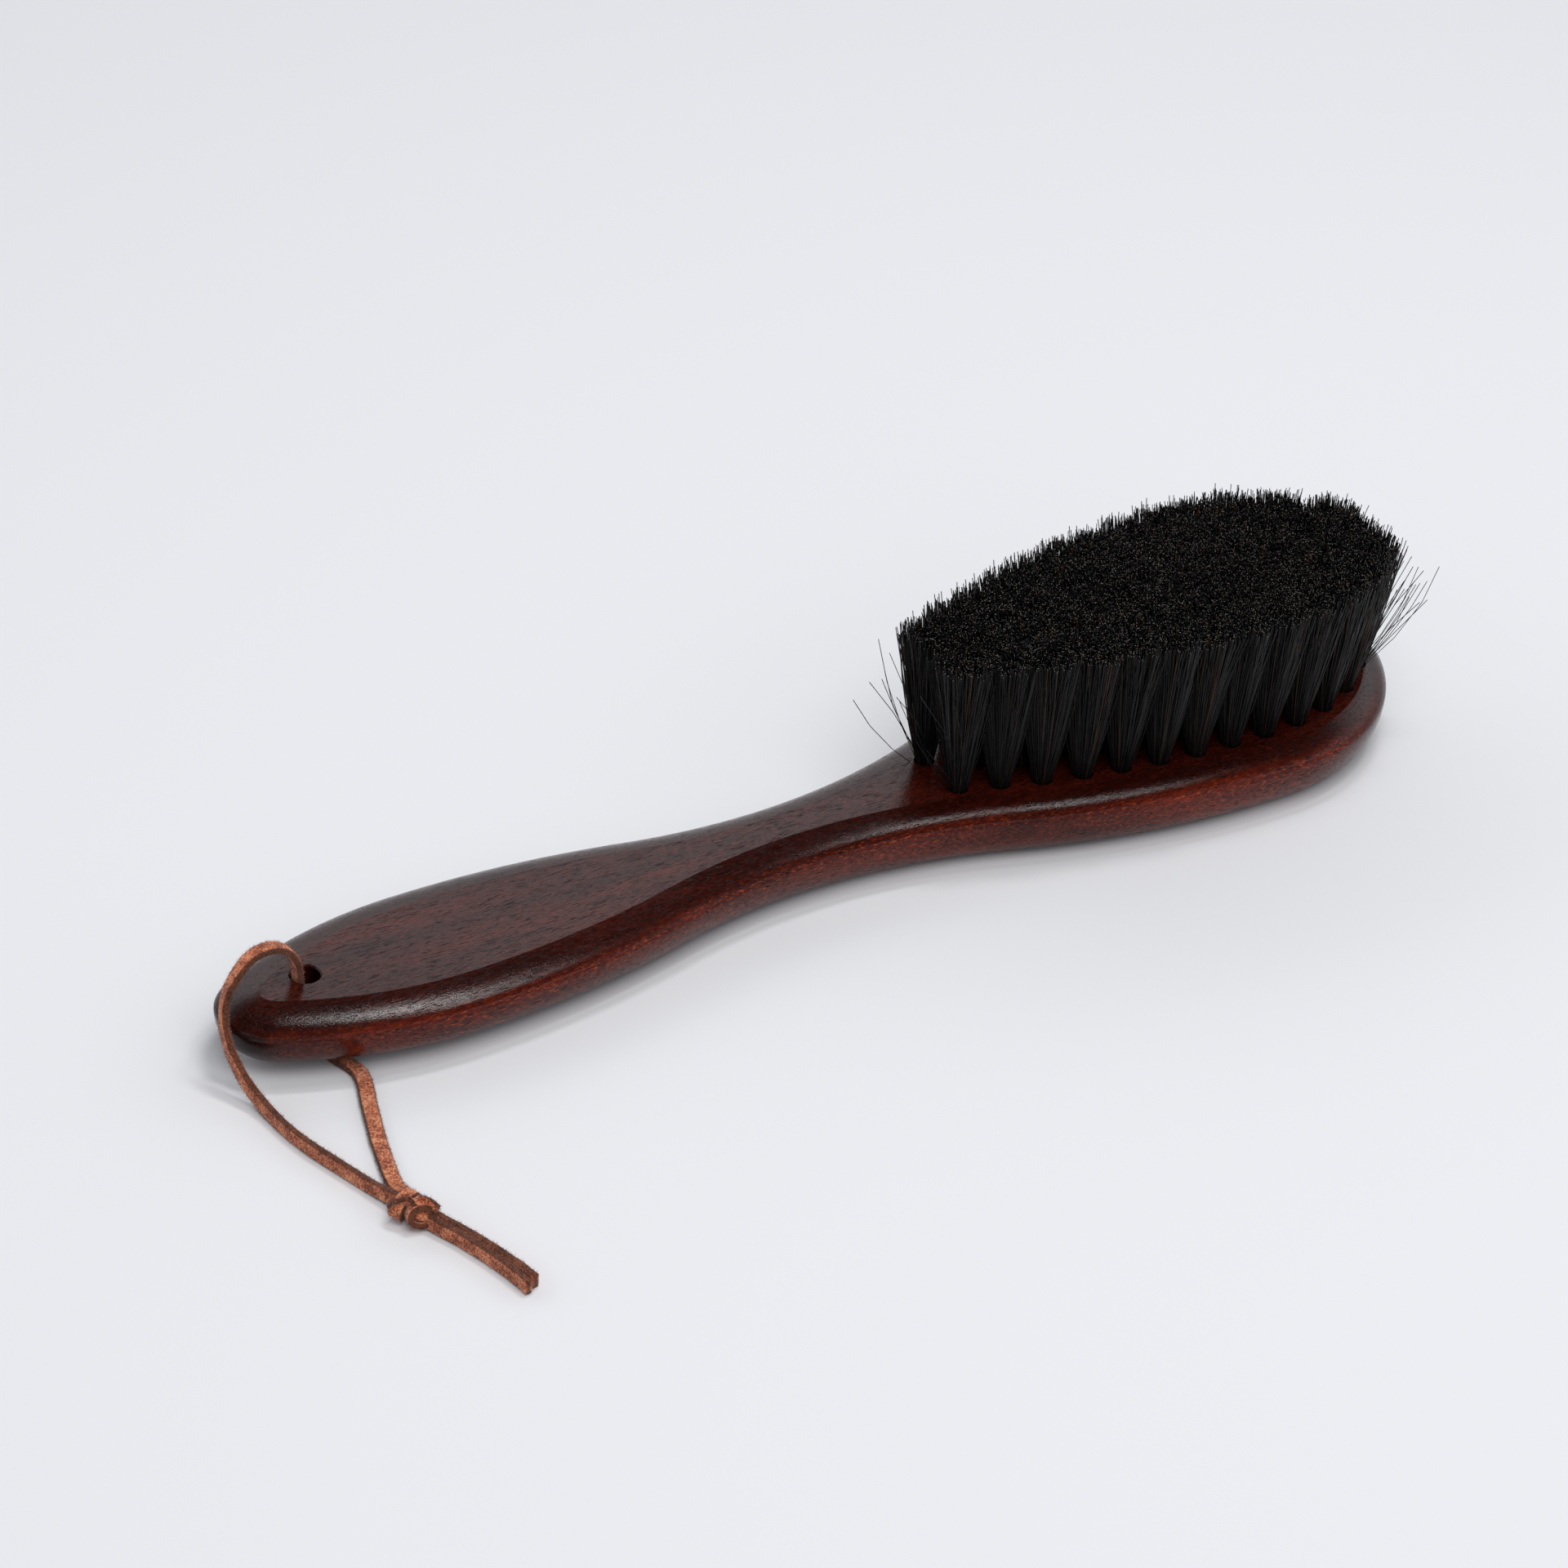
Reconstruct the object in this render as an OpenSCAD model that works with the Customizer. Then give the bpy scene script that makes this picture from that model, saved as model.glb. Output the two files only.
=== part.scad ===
// Long-handled shoe shine brush, lying on its back with the bristles up.
// X runs from the hanging hole to the toe of the head, Z is up, millimetres.
// The origin is under the middle of the wooden stock, on the surface it lies on.

/* [Stock outline] */
// Length of the wooden stock
stock_l = 280; // [250:1:300]
// Widest part of the handle
handle_w = 41.5; // [36:0.5:46]
// Distance of that widest part from the handle end
handle_x = 48; // [42:1:58]
// Narrowest part of the waist
waist_w = 21.5; // [18:0.5:25]
// Distance of the waist from the handle end
waist_x = 130; // [122:1:138]
// Radius of the waist's hollow sides
waist_r = 128; // [90:1:150]
// Widest part of the head
head_w = 60.5; // [54:0.5:68]
// Distance of that widest part from the toe
head_x = 41; // [36:1:48]
// Radius of the handle's end
butt_r = 12; // [10:0.5:15]
// Radius of the head's toe
toe_r = 11; // [9.5:0.5:16]

/* [Stock section] */
// Thickness of the planed board
stock_t = 14; // [12:0.5:18]
// Height of the widest line above the back
widest_z = 10; // [8:0.5:11.5]
// Width of the rounding on the back
back_round = 8.1; // [7:0.1:9.4]
// Width of the soft shoulder beside the bristle face, at the handle end
shoulder_handle = 8.5; // [6:0.1:9]
// Width of the soft shoulder at the toe
shoulder_head = 5.2; // [4:0.1:8]
// How far the back is planed up at the handle end
back_lift = 1.9; // [1.7:0.1:2.5]
// Distance from the handle end at which the back runs flat
lift_end = 150; // [120:1:160]

/* [Hanging hole] */
// Bore of the hanging hole
hang_hole_d = 6; // [5.6:0.1:8]
// Distance of the hole from the handle end
hang_hole_x = 19.5; // [18:0.5:24]
// How far the hole is drilled off the middle line
hang_hole_y = 2; // [0:0.5:3]
// Chamfer at both mouths of the hole
hang_chamfer = 0.5; // [0.2:0.1:0.8]

/* [Tufts] */
// Bore of a tuft hole
tuft_hole_d = 4.4; // [3.8:0.1:4.8]
// Depth of a tuft hole
tuft_hole_depth = 9; // [7.5:0.5:10]
// Distance between rows of tufts along the head
row_pitch = 8.5; // [8:0.1:9]
// Number of rows across the head
row_count = 13; // [10:1:13]
// Distance of the last row from the toe
last_row_x = 10.5; // [10:0.5:12]
// Aim for the distance between tufts in a row
tuft_pitch = 8.2; // [7.6:0.1:9]
// Distance of the outer tufts from the stock's widest line
tuft_inset = 10.4; // [10:0.1:12]
// Free length of the bristles above the wood
bristle_l = 30; // [20:1:40]
// How far the bristle block leans out at the trimmed top
block_splay = 2.5; // [1:0.1:4]
// Radius that one tuft opens to at the top
tuft_fan_r = 4.2; // [3:0.1:4.2]
// Number of strands that stand for one tuft's hair
strands = 8; // [6:1:8]

/* [Anchors] */
// Height of the flat wire that pins a tuft
anchor_h = 1.8; // [1.2:0.1:2.4]
// Thickness of that wire
anchor_t = 0.4; // [0.3:0.05:0.6]
// How far each end bites into the wood
anchor_bite = 0.4; // [0.2:0.1:0.6]
// Hair folded under the wire
fold_h = 1.2; // [0.8:0.1:1.6]

/* [Lace] */
// Width of the suede lace
lace_w = 3; // [2.6:0.1:3.2]
// Thickness of the suede lace
lace_t = 1.4; // [1.2:0.1:1.5]

/* [Hidden] */
$fn = 48;

ROWS = ["01", "02", "03", "04", "05", "06", "07", "08", "09", "10", "11", "12", "13"];

fit_gap = 0.1;
module from_middle() translate([-stock_l / 2, 0, 0]) children();

wood = [0.27, 0.10, 0.07];
hair = [0.06, 0.05, 0.05];
steel = [0.62, 0.62, 0.64];
suede = [0.54, 0.29, 0.20];

function middle(a, b, t) = a + (b - a) * t;
function bearing(a, b) = atan2(b[1] - a[1], b[0] - a[0]);
function on_arc(c, r, a) = [c[0] + r * cos(a), c[1] + r * sin(a)];

// The outline is seven tangent arcs a side. The four long ones follow from the widths, places and end radii.
hw = handle_w / 2;
ww = waist_w / 2;
dw = head_w / 2;
head_at = stock_l - head_x;
function side_r(x, w, r) = (x ^ 2 + w ^ 2 - 2 * r * x) / (2 * (w - r));
function cheek_r(dx, w) = (dx ^ 2 + (ww + waist_r - w) ^ 2 - waist_r ^ 2) / (2 * (w - ww));
butt_c = [butt_r, 0];
toe_c = [stock_l - toe_r, 0];
waist_c = [waist_x, ww + waist_r];
heel_r = side_r(handle_x, hw, butt_r);
grip_r = cheek_r(waist_x - handle_x, hw);
neck_r = cheek_r(head_at - waist_x, dw);
brow_r = side_r(head_x, dw, toe_r);
heel_c = [handle_x, hw - heel_r];
grip_c = [handle_x, hw - grip_r];
neck_c = [head_at, dw - neck_r];
brow_c = [head_at, dw - brow_r];

// Each entry is a point of the outline and the direction that the edge faces there.
function run(c, r, a, b, n, s = 1) =
  [for (i = [0:n - 1]) let (t = middle(a, b, i / n)) [on_arc(c, r, t), s * [cos(t), sin(t)]]];
upper = concat(
  run(butt_c, butt_r, 180, bearing(heel_c, butt_c), 6),
  run(heel_c, heel_r, bearing(heel_c, butt_c), 90, 6),
  run(grip_c, grip_r, 90, bearing(grip_c, waist_c), 5),
  run(waist_c, waist_r, 180 + bearing(grip_c, waist_c), 180 + bearing(neck_c, waist_c), 9, -1),
  run(neck_c, neck_r, bearing(neck_c, waist_c), 90, 6),
  run(brow_c, brow_r, 90, bearing(brow_c, toe_c), 8),
  run(toe_c, toe_r, bearing(brow_c, toe_c), 0, 5),
  [[[stock_l, 0], [1, 0]]]);
function flip(e) = [[e[0][0], -e[0][1]], [e[1][0], -e[1][1]]];
outline = concat(upper, [for (i = [len(upper) - 2:-1:1]) flip(upper[i])]);

function lift_at(x) = back_lift * max(0, 1 - x / lift_end);
function half_width(x) = lookup(x, [for (e = upper) [e[0][0], e[0][1]]]);

back_steps = 5;
shoulder_steps = 4;
shoulder_turn = 45;
function back_ring(e, k) = let (a = 90 * k / back_steps, low = lift_at(e[0][0]))
  concat(e[0] - e[1] * back_round * (1 - sin(a)), low + (widest_z - low) * (1 - cos(a)));
function shoulder_ring(e, k) = let (a = shoulder_turn * k / shoulder_steps,
  w = middle(shoulder_handle, shoulder_head, e[0][0] / stock_l))
  concat(e[0] - e[1] * w * (1 - cos(a)) / (1 - cos(shoulder_turn)),
    widest_z + (stock_t - widest_z) * sin(a) / sin(shoulder_turn));

rings = concat(
  [for (k = [0:back_steps]) [for (e = outline) back_ring(e, k)]],
  [for (k = [1:shoulder_steps]) [for (e = outline) shoulder_ring(e, k)]]);

function join(p) = [for (row = p) each row];
function wall(n, m) = [for (k = [0:m - 2], i = [0:n - 1]) let (j = (i + 1) % n)
  each [[k * n + i, k * n + n + j, k * n + n + i], [k * n + i, k * n + j, k * n + n + j]]];
// A cap of a mirrored outline, as a ladder of triangles from side to side
function ladder(n, s, up) = let (h = n / 2)
  [for (i = [0:h - 1]) let (a = s + i, b = a + 1, c = s + (n - i) % n, d = s + n - i - 1)
    each [if (i > 0) up ? [a, b, c] : [a, c, b], if (i < h - 1) up ? [b, d, c] : [b, c, d]]];

module board() {
  n = len(outline);
  m = len(rings);
  polyhedron(join(rings), concat(wall(n, m), ladder(n, 0, false), ladder(n, n * (m - 1), true)));
}

first_row_x = stock_l - last_row_x - row_pitch * (row_count - 1);
function row_x(i) = first_row_x + i * row_pitch;
function row_half(i) = half_width(row_x(i)) - tuft_inset;
function row_tufts(i) = max(2, round(2 * row_half(i) / tuft_pitch) + 1);
function tuft_places(i) = let (n = row_tufts(i), h = row_half(i))
  [for (k = [0:n - 1]) [row_x(i), middle(-h, h, k / (n - 1))]];

root_low = stock_t - tuft_hole_depth;
anchor_low = root_low + fold_h;
anchor_l = tuft_hole_d + 2 * anchor_bite;

module anchor_at(p, grow = 0)
  translate([p[0] - anchor_t / 2 - grow, p[1] - anchor_l / 2 - grow, anchor_low - grow])
    cube([anchor_t + 2 * grow, anchor_l + 2 * grow, anchor_h + 2 * grow]);

hole_low = lift_at(hang_hole_x);

module mouth(z, out) translate([hang_hole_x, hang_hole_y, z]) mirror([0, 0, out])
  cylinder(r1 = hang_hole_d / 2, r2 = hang_hole_d / 2 + 2 * hang_chamfer, h = 2 * hang_chamfer);

module stock() color(wood) from_middle() difference() {
  board();
  translate([hang_hole_x, hang_hole_y, -1]) cylinder(d = hang_hole_d, h = stock_t + 2);
  mouth(stock_t - hang_chamfer, 0);
  mouth(hole_low + hang_chamfer, 1);
  for (i = [0:row_count - 1], p = tuft_places(i)) {
    translate([p[0], p[1], root_low]) cylinder(d = tuft_hole_d, h = tuft_hole_depth + 1);
    anchor_at(p);
  }
}

// Hair leaves a tuft as wedges that part as they rise. They share only the root's rim, so none crosses.
root_r = tuft_hole_d / 2 - fit_gap;
root_stand = 0.3;
crown_grip = 0.6;
root_top = stock_t + root_stand;
tip_z = stock_t + bristle_l;
crown_low = root_top - crown_grip;
tuft_mid = [(first_row_x + row_x(row_count - 1)) / 2, 0];
block_half = [(row_x(row_count - 1) - first_row_x) / 2, dw - tuft_inset];
function tip_place(p) = [for (k = [0:1]) p[k] + (p[k] - tuft_mid[k]) * block_splay / block_half[k]];
strand_in = 0.3;
strand_out = 1;
strand_spread = 0.72;

module crown(p) {
  n = strands;
  q = tip_place(p);
  turn = 180 / n;
  function around(c, r, a, z) = [c[0] + r * cos(a), c[1] + r * sin(a), z];
  low = [for (i = [0:n - 1]) around(p, root_r - fit_gap, i * 360 / n, crown_low)];
  rim = [for (i = [0:n - 1]) around(p, root_r - fit_gap, i * 360 / n, root_top)];
  tips = [for (i = [0:n - 1]) let (a = (i + 0.5) * 360 / n, r = tuft_fan_r)
    each [around(q, r * strand_in, a, tip_z), around(q, r * strand_out, a - turn * strand_spread, tip_z),
      around(q, r * strand_out, a + turn * strand_spread, tip_z)]];
  core = 2 * n;
  first = 2 * n + 1;
  polyhedron(concat(low, rim, [[p[0], p[1], root_top]], tips), concat(
    [for (i = [1:n - 2]) [0, i, i + 1]],
    [for (i = [0:n - 1]) let (j = (i + 1) % n, t = first + 3 * i) each [
      [i, n + i, n + j], [i, n + j, j],
      [n + i, t + 1, t + 2], [n + i, t + 2, n + j],
      [n + j, t + 2, t], [n + j, t, core],
      [core, t, t + 1], [core, t + 1, n + i],
      [t, t + 2, t + 1]]]));
}

module tuft(p) {
  difference() {
    translate([p[0], p[1], root_low]) cylinder(r = root_r, h = root_top - root_low);
    anchor_at(p, fit_gap / 2);
  }
  crown(p);
}

module tuft_row(i) color(hair) from_middle() for (p = tuft_places(i)) tuft(p);
module anchor_row(i) color(steel) from_middle() for (p = tuft_places(i)) anchor_at(p);

// The lace is one flat thong. A row of a route is a point of its middle line, from the handle's end,
// and the way that its width lies there.
hole_route = [
  [[17.9, 2, 12.5], [0, 1, 0]],
  [[17.9, 2, 10], [0.2, 1, 0]],
  [[18.5, 1.8, 7.5], [0.7, 0.7, 0]],
  [[19, 1.6, 5], [1, 0.2, 0]],
  [[19.3, 1.4, 3], [1, 0, 0]],
  [[19.5, 0.8, 1.5], [1, 0, 0]],
  [[19.7, -0.7, 0.75], [1, 0, 0]],
  [[19.8, -3, 0.75], [1, 0, 0]]];
over_route = [
  [[17.9, 2, 12.5], [0, 1, 0]],
  [[17.8, 2, 15], [0, 1, 0]],
  [[17, 2, 18.6], [0, 1, 0]],
  [[14.9, 1.9, 21.4], [0, 1, 0]],
  [[12, 1.7, 22.9], [0, 1, 0]],
  [[8.7, 1.5, 23], [0.1, 1, 0]],
  [[5.7, 1.1, 21.8], [0.2, 1, 0]],
  [[2.9, 0.4, 19.4], [0.2, 1, -0.1]],
  [[0.8, -0.5, 16.9], [0.2, 1, -0.3]],
  [[-0.5, -1.8, 14], [0.2, 0.9, -0.4]],
  [[-1.2, -3.6, 11.3], [0.1, 0.8, -0.6]],
  [[-1.5, -5.8, 8.8], [0.1, 0.7, -0.7]],
  [[-1.4, -8.4, 6.4], [0, 0.5, -0.8]],
  [[-1.1, -11.6, 4.2], [0, 0.4, -0.9]],
  [[-0.6, -15.6, 2.5], [0, 0.2, -1]],
  [[-0.3, -20.8, 1.7], [0, 0, -1]],
  [[0, -26.6, 1.6], [0, 0, -1]],
  [[1, -33.2, 1.6], [0, 0, -1]],
  [[2.7, -40.4, 1.6], [0, 0, -1]],
  [[4.7, -48.4, 1.6], [0, 0, -1]],
  [[7.2, -57.8, 2.6], [0, 0, -1]]];
under_route = [
  [[19.8, -3, 0.75], [1, 0, 0]],
  [[19.9, -6, 0.75], [1, 0, 0]],
  [[20.4, -9.2, 0.75], [1, 0.2, 0]],
  [[21.2, -12.2, 0.75], [1, 0.2, 0]],
  [[21.6, -15.2, 0.75], [1, -0.1, 0]],
  [[20.9, -18.4, 0.75], [1, -0.4, 0]],
  [[19.6, -21.6, 0.75], [1, -0.4, 0]],
  [[18.2, -24.8, 0.75], [1, -0.4, 0]],
  [[16.8, -28.2, 0.75], [1, -0.4, 0]],
  [[15.4, -31.8, 0.75], [1, -0.4, 0]],
  [[13.9, -35.6, 0.75], [1, -0.4, 0]],
  [[12.5, -39.6, 0.75], [1, -0.4, 0]],
  [[11.2, -43.6, 0.75], [1, -0.4, 0]],
  [[9.9, -47.8, 0.8], [1, -0.4, 0]],
  [[9.2, -51.8, 1], [1, -0.4, 0.1]],
  [[9.1, -57.6, 2.2], [0.6, -0.2, 0.8]]];
near_tail_route = [
  [[7.7, -61, 2], [0, 0, 1]],
  [[8.6, -63.6, 1.8], [0, 0, 1]],
  [[9.6, -66.6, 1.6], [0, 0, 1]],
  [[10.8, -70, 1.6], [0, 0, 1]],
  [[11.8, -73.9, 1.6], [0, 0, 1]],
  [[12.8, -78.1, 1.6], [0, 0, 1]],
  [[13.6, -82.3, 1.6], [0, 0, 1]],
  [[14.1, -86.2, 1.6], [0, 0, 1]],
  [[14.3, -89.2, 1.6], [0, 0, 1]]];
far_tail_route = [
  [[9.3, -60.7, 2], [0, 0, 1]],
  [[10.2, -63, 1.8], [0, 0, 1]],
  [[11.1, -65.8, 1.6], [0, 0, 1]],
  [[12.2, -69, 1.6], [0, 0, 1]],
  [[13.3, -72.8, 1.6], [0, 0, 1]],
  [[14.3, -76.6, 1.6], [0, 0, 1]],
  [[15.2, -80.6, 1.6], [0, 0, 1]],
  [[15.9, -84.6, 1.6], [0, 0, 1]],
  [[16.4, -88.2, 1.6], [0, 0, 1]]];

lace_corner = 0.35;
lace_section = let (a = lace_w / 2, b = lace_t / 2, c = lace_corner)
  [[a, c - b], [a - c, -b], [c - a, -b], [-a, c - b], [-a, b - c], [c - a, b], [a - c, b], [a, b - c]];
function unit(v) = v / norm(v);
function spline(a, b, c, d, t) =
  0.5 * (2 * b + (c - a) * t + (2 * a - 5 * b + 4 * c - d) * t ^ 2 + (3 * b - a - 3 * c + d) * t ^ 3);
function smooth(route, k, steps) = let (n = len(route) - 1)
  concat([for (i = [0:n - 1], s = [0:steps - 1])
    spline(route[max(i - 1, 0)][k], route[i][k], route[i + 1][k], route[min(i + 2, n)][k], s / steps)],
    [route[n][k]]);

module lace(route, steps) {
  mid = smooth(route, 0, steps);
  lie = smooth(route, 1, steps);
  n = len(mid);
  m = len(lace_section);
  points = [for (i = [0:n - 1]) let (
    t = unit(mid[min(i + 1, n - 1)] - mid[max(i - 1, 0)]),
    w = unit(lie[i] - (lie[i] * t) * t),
    h = cross(t, w))
    each [for (q = lace_section) mid[i] + w * q[0] + h * q[1]]];
  polyhedron(points, concat(wall(m, n), fan(m, 0, false), fan(m, m * (n - 1), true)));
}
function fan(m, s, up) = [for (i = [1:m - 2]) up ? [s, s + i, s + i + 1] : [s, s + i + 1, s + i]];

knot_mid = [8, -59.3, 3];
knot_turn = -76;
knot_r = 2.7;
knot_l = 9;
module turn_of_lace(r, tilt, lean) rotate([lean, 0, tilt]) rotate([0, 90, 0])
  rotate_extrude() translate([r - lace_t / 2, -lace_w / 2]) square([lace_t, lace_w]);

module lace_knot() difference() {
  translate(knot_mid) rotate([0, 0, knot_turn]) {
    rotate([0, 90, 0]) rotate_extrude() intersection() {
      translate([-knot_r, 0]) circle(2 * knot_r);
      translate([0, -knot_l / 2]) square([knot_r, knot_l]);
    }
    translate([-1.9, 0, 0]) turn_of_lace(knot_r, 16, 0);
    translate([1.6, 0, 0]) turn_of_lace(knot_r - 0.2, -24, 12);
  }
  translate([knot_mid[0] - knot_l, knot_mid[1] - knot_l, -knot_l]) cube([2 * knot_l, 2 * knot_l, knot_l]);
  lace(over_route, 1);
  lace(under_route, 1);
  lace(near_tail_route, 1);
  lace(far_tail_route, 1);
}

stock();
for (i = [0:row_count - 1]) {
  tuft_row(i);
  anchor_row(i);
}
color(suede) from_middle() lace(hole_route, 2);  // lace_in_hole
color(suede) from_middle() lace(over_route, 1);  // lace_over
color(suede) from_middle() lace(under_route, 1);  // lace_under
color(suede) from_middle() lace_knot();
color(suede) from_middle() lace(near_tail_route, 1);  // lace_tail_near
color(suede) from_middle() lace(far_tail_route, 1);  // lace_tail_far
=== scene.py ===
import math
import random

import bmesh
import bpy
from mathutils import Matrix, Vector, noise


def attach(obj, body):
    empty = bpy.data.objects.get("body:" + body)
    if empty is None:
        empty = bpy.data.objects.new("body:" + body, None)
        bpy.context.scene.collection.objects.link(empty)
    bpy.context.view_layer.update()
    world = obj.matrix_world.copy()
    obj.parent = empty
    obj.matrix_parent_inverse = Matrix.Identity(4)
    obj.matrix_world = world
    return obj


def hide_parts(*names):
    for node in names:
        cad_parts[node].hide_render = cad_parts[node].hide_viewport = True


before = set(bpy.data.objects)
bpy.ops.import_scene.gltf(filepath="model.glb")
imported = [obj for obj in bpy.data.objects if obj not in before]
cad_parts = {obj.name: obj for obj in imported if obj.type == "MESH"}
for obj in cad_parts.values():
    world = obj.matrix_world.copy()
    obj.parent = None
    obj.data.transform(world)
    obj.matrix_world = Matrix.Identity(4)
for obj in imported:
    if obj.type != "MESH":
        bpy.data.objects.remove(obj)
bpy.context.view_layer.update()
print("frame loaded")

mm = 0.001


# Small helpers

def hexColour(code):
    parts = [int(code[i:i + 2], 16) / 255 for i in (1, 3, 5)]
    return [c / 12.92 if c <= 0.04045 else ((c + 0.055) / 1.055) ** 2.4 for c in parts] + [1.0]


def addNode(tree, kind, settings=None, values=None, links=None, stops=()):
    # a link names a socket, or a node for its first output; stops are a colour ramp's places and colours
    node = tree.nodes.new(kind)
    for name, value in (settings or {}).items():
        setattr(node, name, value)
    for key, value in (values or {}).items():
        node.inputs[key].default_value = value
    for key, source in (links or {}).items():
        if isinstance(source, bpy.types.Node):
            source = source.outputs[0]
        tree.links.new(source, node.inputs[key])
    for k, (at, colour) in enumerate(stops):
        stop = node.color_ramp.elements[k] if k < 2 else node.color_ramp.elements.new(at)
        stop.position = at
        stop.color = colour
    return node


def newMaterial(name):
    material = bpy.data.materials.new(name)
    material.use_nodes = True
    material.node_tree.nodes.clear()
    return material, material.node_tree


def newGeometryTree(name, inputs):
    # a tree for a modifier, with its named inputs, and the sockets that give them inside
    tree = bpy.data.node_groups.new(name, "GeometryNodeTree")
    tree.interface.new_socket("Geometry", in_out="INPUT", socket_type="NodeSocketGeometry")
    for label, kind in inputs.items():
        tree.interface.new_socket(label, in_out="INPUT", socket_type=kind)
    tree.interface.new_socket("Geometry", in_out="OUTPUT", socket_type="NodeSocketGeometry")
    return tree, addNode(tree, "NodeGroupInput").outputs


def meshFrom(bm, name):
    mesh = bpy.data.meshes.new(name)
    bm.to_mesh(mesh)
    bm.free()
    return mesh


def bridge(bm, near, far):
    # a band of faces between two rings of as many points
    for i in range(len(near)):
        j = (i + 1) % len(near)
        bm.faces.new((near[i], near[j], far[j], far[i]))


def newPiece(name, mesh, material=None):
    piece = bpy.data.objects.new(name, mesh)
    bpy.context.scene.collection.objects.link(piece)
    if material:
        mesh.materials.append(material)
    return piece


def bakeModifiers(piece):
    # the modifiers' result becomes the piece's own plain mesh
    graph = bpy.context.evaluated_depsgraph_get()
    graph.update()
    result = bpy.data.meshes.new_from_object(piece.evaluated_get(graph), depsgraph=graph)
    piece.modifiers.clear()
    piece.data = result


def growFrom(piece, tree, values):
    # the named inputs are set by their sockets' identifiers before the first evaluation
    grow = piece.modifiers.new("grow", "NODES")
    grow.node_group = tree
    for socket in tree.interface.items_tree:
        if socket.in_out == "INPUT" and socket.name in values:
            grow[socket.identifier] = values[socket.name]
    bakeModifiers(piece)
    piece.data.shade_smooth()


def mix(a, b, t):
    return a + (b - a) * t


def spline(a, b, c, d, t):
    # a smooth curve from b to c, with a before them and d after
    return 0.5 * (2 * b + (c - a) * t + (2 * a - 5 * b + 4 * c - d) * t ** 2
                  + (3 * b - a - 3 * c + d) * t ** 3)


# Camera, at the photograph's place. Places along the stock count from the handle's end in millimetres.

stockLength = 280

photo = {
    "size": 1920,
    "focalPixels": 7292,
    "yaw": 0.6206,
    "pitch": 0.577,
    "roll": 0.0611,
    "place": (-452.3, -812.3, 674.0),
    "sensor": 36,
    "farthest": 20,  # metres, past the floor's far edge
}


def atBrush(x, y, z):
    return Vector(((x - stockLength / 2) * mm, y * mm, z * mm))


def makeCamera():
    yaw, pitch, roll = photo["yaw"], photo["pitch"], photo["roll"]
    ahead = Vector((math.sin(yaw) * math.cos(pitch), math.cos(yaw) * math.cos(pitch), -math.sin(pitch)))
    side = Vector((math.cos(yaw), -math.sin(yaw), 0))
    up = side.cross(ahead)
    right = math.cos(roll) * side + math.sin(roll) * up
    top = math.cos(roll) * up - math.sin(roll) * side
    data = bpy.data.cameras.new("camera")
    data.sensor_width = photo["sensor"]
    data.lens = photo["focalPixels"] / photo["size"] * data.sensor_width
    data.clip_end = photo["farthest"]
    camera = bpy.data.objects.new("camera", data)
    bpy.context.scene.collection.objects.link(camera)
    turn = Matrix((right, top, -ahead)).transposed().to_4x4()
    camera.matrix_world = Matrix.Translation(atBrush(*photo["place"])) @ turn
    bpy.context.scene.camera = camera


makeCamera()
print("camera placed")


# Suede: split leather with a raised nap, cut into a flat thong. The nap scatters light, so it is matt and
# speckled, the two faces are orange-brown, and the cut edges are darker.

suedeSettings = {
    "faceDark": "#6f3826",
    "face": "#bd6845",
    "faceLight": "#e6a27a",
    "edge": "#4a281b",
    "edgeLight": "#8b5239",
    "napSize": 0.42,  # millimetres, coarser than real nap, which is too fine to show
    "napDepth": 0.3,
    "patchSize": 2.5,
    "patchShare": 0.35,  # of the tone, and the nap has the rest
}


def makeSuede():
    material, tree = newMaterial("suede")
    s = suedeSettings
    coord = addNode(tree, "ShaderNodeTexCoord").outputs["Object"]
    nap = addNode(tree, "ShaderNodeTexNoise", links={"Vector": coord},
                  values={"Scale": 1 / (s["napSize"] * mm), "Detail": 3, "Roughness": 0.6})
    patch = addNode(tree, "ShaderNodeTexNoise", links={"Vector": coord},
                    values={"Scale": 1 / (s["patchSize"] * mm), "Detail": 3})
    patchPart = addNode(tree, "ShaderNodeMath", {"operation": "MULTIPLY"}, {1: s["patchShare"]}, {0: patch})
    tone = addNode(tree, "ShaderNodeMath", {"operation": "MULTIPLY_ADD"}, {1: 1 - s["patchShare"]},
                   {0: nap, 2: patchPart})
    face = addNode(tree, "ShaderNodeValToRGB", links={"Fac": tone}, stops=[
        (at, hexColour(s[name])) for at, name in ((0.41, "faceDark"), (0.5, "face"), (0.62, "faceLight"))])
    edge = addNode(tree, "ShaderNodeValToRGB", links={"Fac": tone}, stops=[
        (at, hexColour(s[name])) for at, name in ((0.4, "edge"), (0.64, "edgeLight"))])
    cut = addNode(tree, "ShaderNodeAttribute", {"attribute_name": "cutEdge"}).outputs["Fac"]
    ragged = addNode(tree, "ShaderNodeMath", {"operation": "ADD"}, links={0: cut, 1: nap})
    atEdge = addNode(tree, "ShaderNodeMapRange", values={"From Min": 0.75, "From Max": 1.25},
                     links={"Value": ragged})
    tint = addNode(tree, "ShaderNodeMix", {"data_type": "RGBA"}, links={0: atEdge, 6: face, 7: edge})
    bump = addNode(tree, "ShaderNodeBump", values={"Strength": 1.0, "Distance": s["napDepth"] * mm},
                   links={"Height": nap})
    shader = addNode(tree, "ShaderNodeBsdfPrincipled", links={"Base Color": tint.outputs[2], "Normal": bump},
                     values={"Roughness": 1.0, "Specular IOR Level": 0.1,
                             "Sheen Weight": 0.25, "Sheen Roughness": 0.5})
    addNode(tree, "ShaderNodeOutputMaterial", links={"Surface": shader})
    return material


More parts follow.
